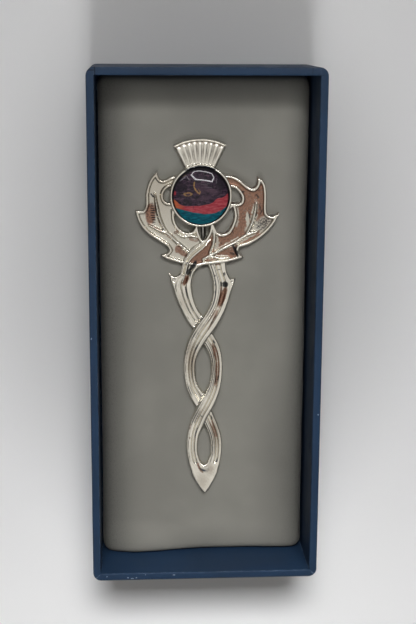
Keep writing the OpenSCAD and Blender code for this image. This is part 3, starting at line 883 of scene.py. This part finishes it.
def makeStone():
    radius = (stoneHigh.x - stoneLow.x) / 2
    girdle = castHigh.z - stone["girdleBelowRing"] * mm
    rise = stoneHigh.z - girdle
    dome = (radius ** 2 + rise ** 2) / (2 * rise)
    deselectAll()
    centre = (pinPlace["centre"].x, pinPlace["centre"].y, stoneHigh.z - dome)
    bpy.ops.mesh.primitive_uv_sphere_add(segments=stone["rings"], ring_count=stone["rings"] * 2, radius=dome,
                                         location=centre)
    piece = bpy.context.object
    piece.name = "domedStone"
    settle(piece)
    bpy.ops.object.mode_set(mode="EDIT")
    bpy.ops.mesh.select_all(action="SELECT")
    bpy.ops.mesh.bisect(plane_co=(0, 0, girdle), plane_no=(0, 0, 1), use_fill=True, clear_inner=True,
                        threshold=0.001 * mm)
    leaveEdit()
    pickFaces(piece, lambda face: face.normal.z < -0.9)
    bpy.ops.mesh.extrude_region_move(TRANSFORM_OT_translate={"value": (0, 0, stoneLow.z - girdle)})
    leaveEdit()
    pickEdges(piece, lambda a, b: abs(a.z - girdle) < 0.01 * mm and abs(b.z - girdle) < 0.01 * mm)
    bpy.ops.mesh.bevel(offset=stone["edgeRound"] * mm, segments=3, affect="EDGES")
    bpy.ops.mesh.select_all(action="SELECT")
    bpy.ops.mesh.normals_make_consistent(inside=False)
    leaveEdit()
    smoothShade(piece, 40)
    return piece


def bandLine(tree, across, rows):
    # the height of a band's edge over its place across the stone
    low, high = rows[0][0], rows[-1][0]
    share = fade(tree, across, low, high)
    share.node.interpolation_type = "LINEAR"
    made = node(tree, "FloatCurve")
    curve = made.mapping.curves[0]
    half = stone["curveReach"]
    points = [((x - low) / (high - low), (y + half) / (2 * half)) for x, y in rows]
    curve.points[0].location = points[0]
    curve.points[1].location = points[-1]
    for point in points[1:-1]:
        curve.points.new(*point)
    made.mapping.update()
    feed(tree, made.inputs["Value"], share)
    return sums(tree, "MULTIPLY_ADD", made.outputs[0], 2 * half, -half)


def stoneMaterial():
    material, tree, finish, place = startMaterial("bandedStone")
    flat = vectorSums(tree, "MULTIPLY", onPin(tree, place), (1, 1, 0))
    cloud = noiseAt(tree, flat, 0.9, 5.0, output="Color")
    pushed = vectorSums(tree, "MULTIPLY_ADD", cloud, (0.5, 0.4, 0), flat)
    marked = vectorSums(tree, "SUBTRACT", pushed, stone["bandShift"])
    across, along = axesOf(tree, marked)[:2]
    veins = noiseAt(tree, mapped(tree, marked, scale=(0.35, 1.6, 1)), 1.6, 8.0, 0.6, 0.6)
    mottle = noiseAt(tree, marked, 1.5, 6.0, 0.65, 0.8)
    loose = wobbled(tree, marked, 3.2, 0.5)

    dark = mixColour(tree, fade(tree, mottle, 0.40, 0.60), stone["night"], stone["purple"])
    dark = mixColour(tree, fade(tree, veins, 0.52, 0.66), dark, stone["plum"])
    red = mixColour(tree, fade(tree, veins, 0.40, 0.62), stone["red"], stone["rose"])
    toLeft = fade(tree, across, -3.4, -6.4)
    red = mixColour(tree, times(tree, toLeft, 0.8), red, stone["orange"])
    teal = mixColour(tree, fade(tree, veins, 0.36, 0.66), stone["deepTeal"], stone["teal"])

    overRed = sums(tree, "SUBTRACT", along, bandLine(tree, across, stone["redTop"]))
    overTeal = sums(tree, "SUBTRACT", along, bandLine(tree, across, stone["tealTop"]))
    low = mixColour(tree, fade(tree, overTeal, -0.12, 0.12), teal, red)
    whole = mixColour(tree, fade(tree, overRed, -0.12, 0.12), low, dark)

    worn = fade(tree, veins, 0.30, 0.50, 0.35, 1.0)
    for centre, size, turn, line, colour, strength in stone["flecks"]:
        mask = spot(tree, loose, centre, size, turn, line)
        whole = mixColour(tree, times(tree, mask, worn, strength), whole, stone[colour])
    # painted shadow: the dome is painted black where it dips under the ring
    outward = vectorSums(tree, "LENGTH", vectorSums(tree, "SUBTRACT", flat, stone["ringMiddle"]))
    whole = mixColour(tree, fade(tree, outward, *stone["ringShadowFade"]), whole, stone["edge"])
    feed(tree, finish["Base Color"], whole)
    finish["Coat Weight"].default_value = 1.0
    finish["Coat Roughness"].default_value = 0.015
    finish["Coat IOR"].default_value = 1.36
    finish["Specular IOR Level"].default_value = 0.02
    haze = noiseAt(tree, place, 260.0, 2.0, 0.4)
    feed(tree, finish["Roughness"], fade(tree, haze, 0.3, 0.7, 0.28, 0.42))
    return material


domedStone = makeStone()
dress(domedStone, stoneMaterial())
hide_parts("stone")
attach(domedStone, "root")
print("stone made:", len(domedStone.data.polygons), "faces")


# the wire, hinge block and catch keep their own solids and get a drawn steel finish

wire = {
    "steel": (0.60, 0.59, 0.57, 1),
    "worn": (0.86, 0.85, 0.83, 1),
}


def steelMaterial():
    material, tree, finish, place = startMaterial("pinSteel")
    lines = noiseAt(tree, mapped(tree, place, scale=(6000, 250, 6000)), 1.0, 3.0, 0.6)
    wear = useGroup(tree, edgeWear, Vector=place, Radius=0.15 * mm, Amount=0.6, Scale=2500.0)
    feed(tree, finish["Base Color"], mixColour(tree, wear["Mask"], wire["steel"], wire["worn"]))
    finish["Metallic"].default_value = 1.0
    feed(tree, finish["Roughness"], fade(tree, lines, 0.3, 0.7, 0.22, 0.36))
    feed(tree, finish["Normal"], bumpFrom(tree, lines, 0.2, 0.01 * mm))
    return material


dress(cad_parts["brooch_pin"], steelMaterial())
print("pin finish made")


# floor, light and camera

studio = {
    "floor": 3.0,
    "floorLight": (0.785, 0.787, 0.795, 1),
    "floorDark": (0.755, 0.757, 0.765, 1),
    "floorLitNear": (0.895, 0.897, 0.905, 1),
    # painted light: the floor is painted paler towards the foot: from and to, along y in metres
    "floorTurn": (0.0, -0.12),
    # painted shadow: the floor is painted darker round the box: middle and half size in metres, turn, share
    "floorShade": (((0.0, 0.0075), (0.032, 0.046), 0, 0.27),),
    "sky": (0.68, 0.66, 0.63, 1),
    "skySide": (0.05, 0.049, 0.048, 1),
    "skyEdge": (0.84, 0.96),
    # what polished things mirror: the same room, with its pale walls
    "mirrorSky": (0.74, 0.72, 0.69, 1),
    "mirrorSide": (0.24, 0.235, 0.23, 1),
    "mirrorEdge": (0.42, 0.92),
    "backdrop": (0.17, 0.17, 0.172, 1),
    # the camera, fitted to the photo: lens and sensor width in millimetres, place and turn
    "lens": 72.91,
    "sensor": 36,
    "cameraPlace": ((-0.01837, 0.07161, 0.31935), (-0.2210, -0.0622, 0.0051)),
}

# lights in metres: middle, size, the point that it is aimed at, spread in degrees, power in watts
lamps = {
    "keySoft": ((-0.005, 0.33, 0.560), (0.35, 0.18), (0, -0.16, 0), 40, 0.36),
    "windowBelow": ((0.0, -0.330, 0.560), (0.60, 0.22), (0, 0.26, 0), 22, 0.41),
}

# a ring of tubes overhead, which only polished things mirror: corners and width in metres, watts per metre
tubes = {
    "height": 0.560,
    "width": 0.032,
    "power": 2.1,
    "corners": (
        (-0.215, 0.488), (-0.147, 0.622), (0.010, 0.626), (0.330, 0.563), (0.372, 0.427), (0.283, 0.297),
        (-0.094, 0.342),
    ),
}


def makeFloor():
    deselectAll()
    bpy.ops.mesh.primitive_plane_add(size=studio["floor"])
    piece = bpy.context.object
    piece.name = "paleFloor"
    material, tree, finish, place = startMaterial("paleFloor")
    grain = useGroup(tree, fineGrain, Vector=place, Grain=900.0, Blotch=8.0)
    colour = mixColour(tree, grain["Blotch"], studio["floorDark"], studio["floorLight"])
    # painted light, paler towards the foot
    near = fade(tree, axesOf(tree, place)[1], *studio["floorTurn"])
    colour = mixColour(tree, near, colour, studio["floorLitNear"])
    # painted shadow round the box
    colour = paintMarks(tree, place, studio["floorShade"], colour, (0, 0, 0, 1), edge=(2.0, 0.9))[0]
    feed(tree, finish["Base Color"], colour)
    feed(tree, finish["Roughness"], fade(tree, grain["Height"], 0.3, 0.7, 0.7, 0.8))
    dress(piece, material)
    return piece


def addLamp(name, middle, size, power):
    data = bpy.data.lights.new(name, "AREA")
    data.shape = "RECTANGLE"
    data.size, data.size_y = size
    data.energy = power
    lamp = bpy.data.objects.new(name, data)
    lamp.location = middle
    bpy.context.scene.collection.objects.link(lamp)
    return lamp


def makeLamps():
    for name, (middle, size, target, spread, power) in lamps.items():
        lamp = addLamp(name, middle, size, power)
        lamp.data.spread = math.radians(spread)
        lamp.rotation_euler = (Vector(target) - Vector(middle)).to_track_quat("-Z", "Y").to_euler()
        lamp.visible_glossy = False


def makeTubes():
    corners = [Vector((x, y, tubes["height"])) for x, y in tubes["corners"]]
    for index, start in enumerate(corners):
        run = corners[(index + 1) % len(corners)] - start
        size = (run.length + tubes["width"] / 2, tubes["width"])
        lamp = addLamp("tube%d" % index, start + run / 2, size, tubes["power"] * run.length)
        lamp.rotation_euler.z = math.atan2(run.y, run.x)
        lamp.visible_diffuse = False


def makeWorld():
    world = bpy.data.worlds.new("softRoom")
    world.use_nodes = True
    bpy.context.scene.world = world
    tree = world.node_tree
    back = tree.nodes["Background"].inputs
    place = node(tree, "TexCoord").outputs["Generated"]
    height = axesOf(tree, place)[2]
    sky = mixColour(tree, fade(tree, height, *studio["skyEdge"]), studio["skySide"], studio["sky"])
    walls = fade(tree, height, *studio["mirrorEdge"])
    mirrored = mixColour(tree, walls, studio["mirrorSide"], studio["mirrorSky"])
    clouds = fade(tree, noiseAt(tree, place, 3.2, 2.0, 0.5), 0.36, 0.62, 0.70, 1.06)
    mirrored = mixColour(tree, 1.0, mirrored, clouds, "MULTIPLY")
    rays = node(tree, "LightPath").outputs
    room = mixColour(tree, rays["Is Glossy Ray"], sky, mirrored)
    feed(tree, back["Color"], mixColour(tree, rays["Is Camera Ray"], room, studio["backdrop"]))
    back["Strength"].default_value = 1.0
    arrange(tree)


def makeCamera():
    data = bpy.data.cameras.new("camera")
    data.lens = studio["lens"]
    data.sensor_width = studio["sensor"]
    data.clip_start = 0.01
    view = bpy.data.objects.new("camera", data)
    view.location, view.rotation_euler = studio["cameraPlace"]
    bpy.context.scene.collection.objects.link(view)
    bpy.context.scene.camera = view


paleFloor = makeFloor()
makeLamps()
makeTubes()
makeWorld()
makeCamera()
bpy.context.scene.view_settings.view_transform = "Standard"
print("floor, light and camera made")
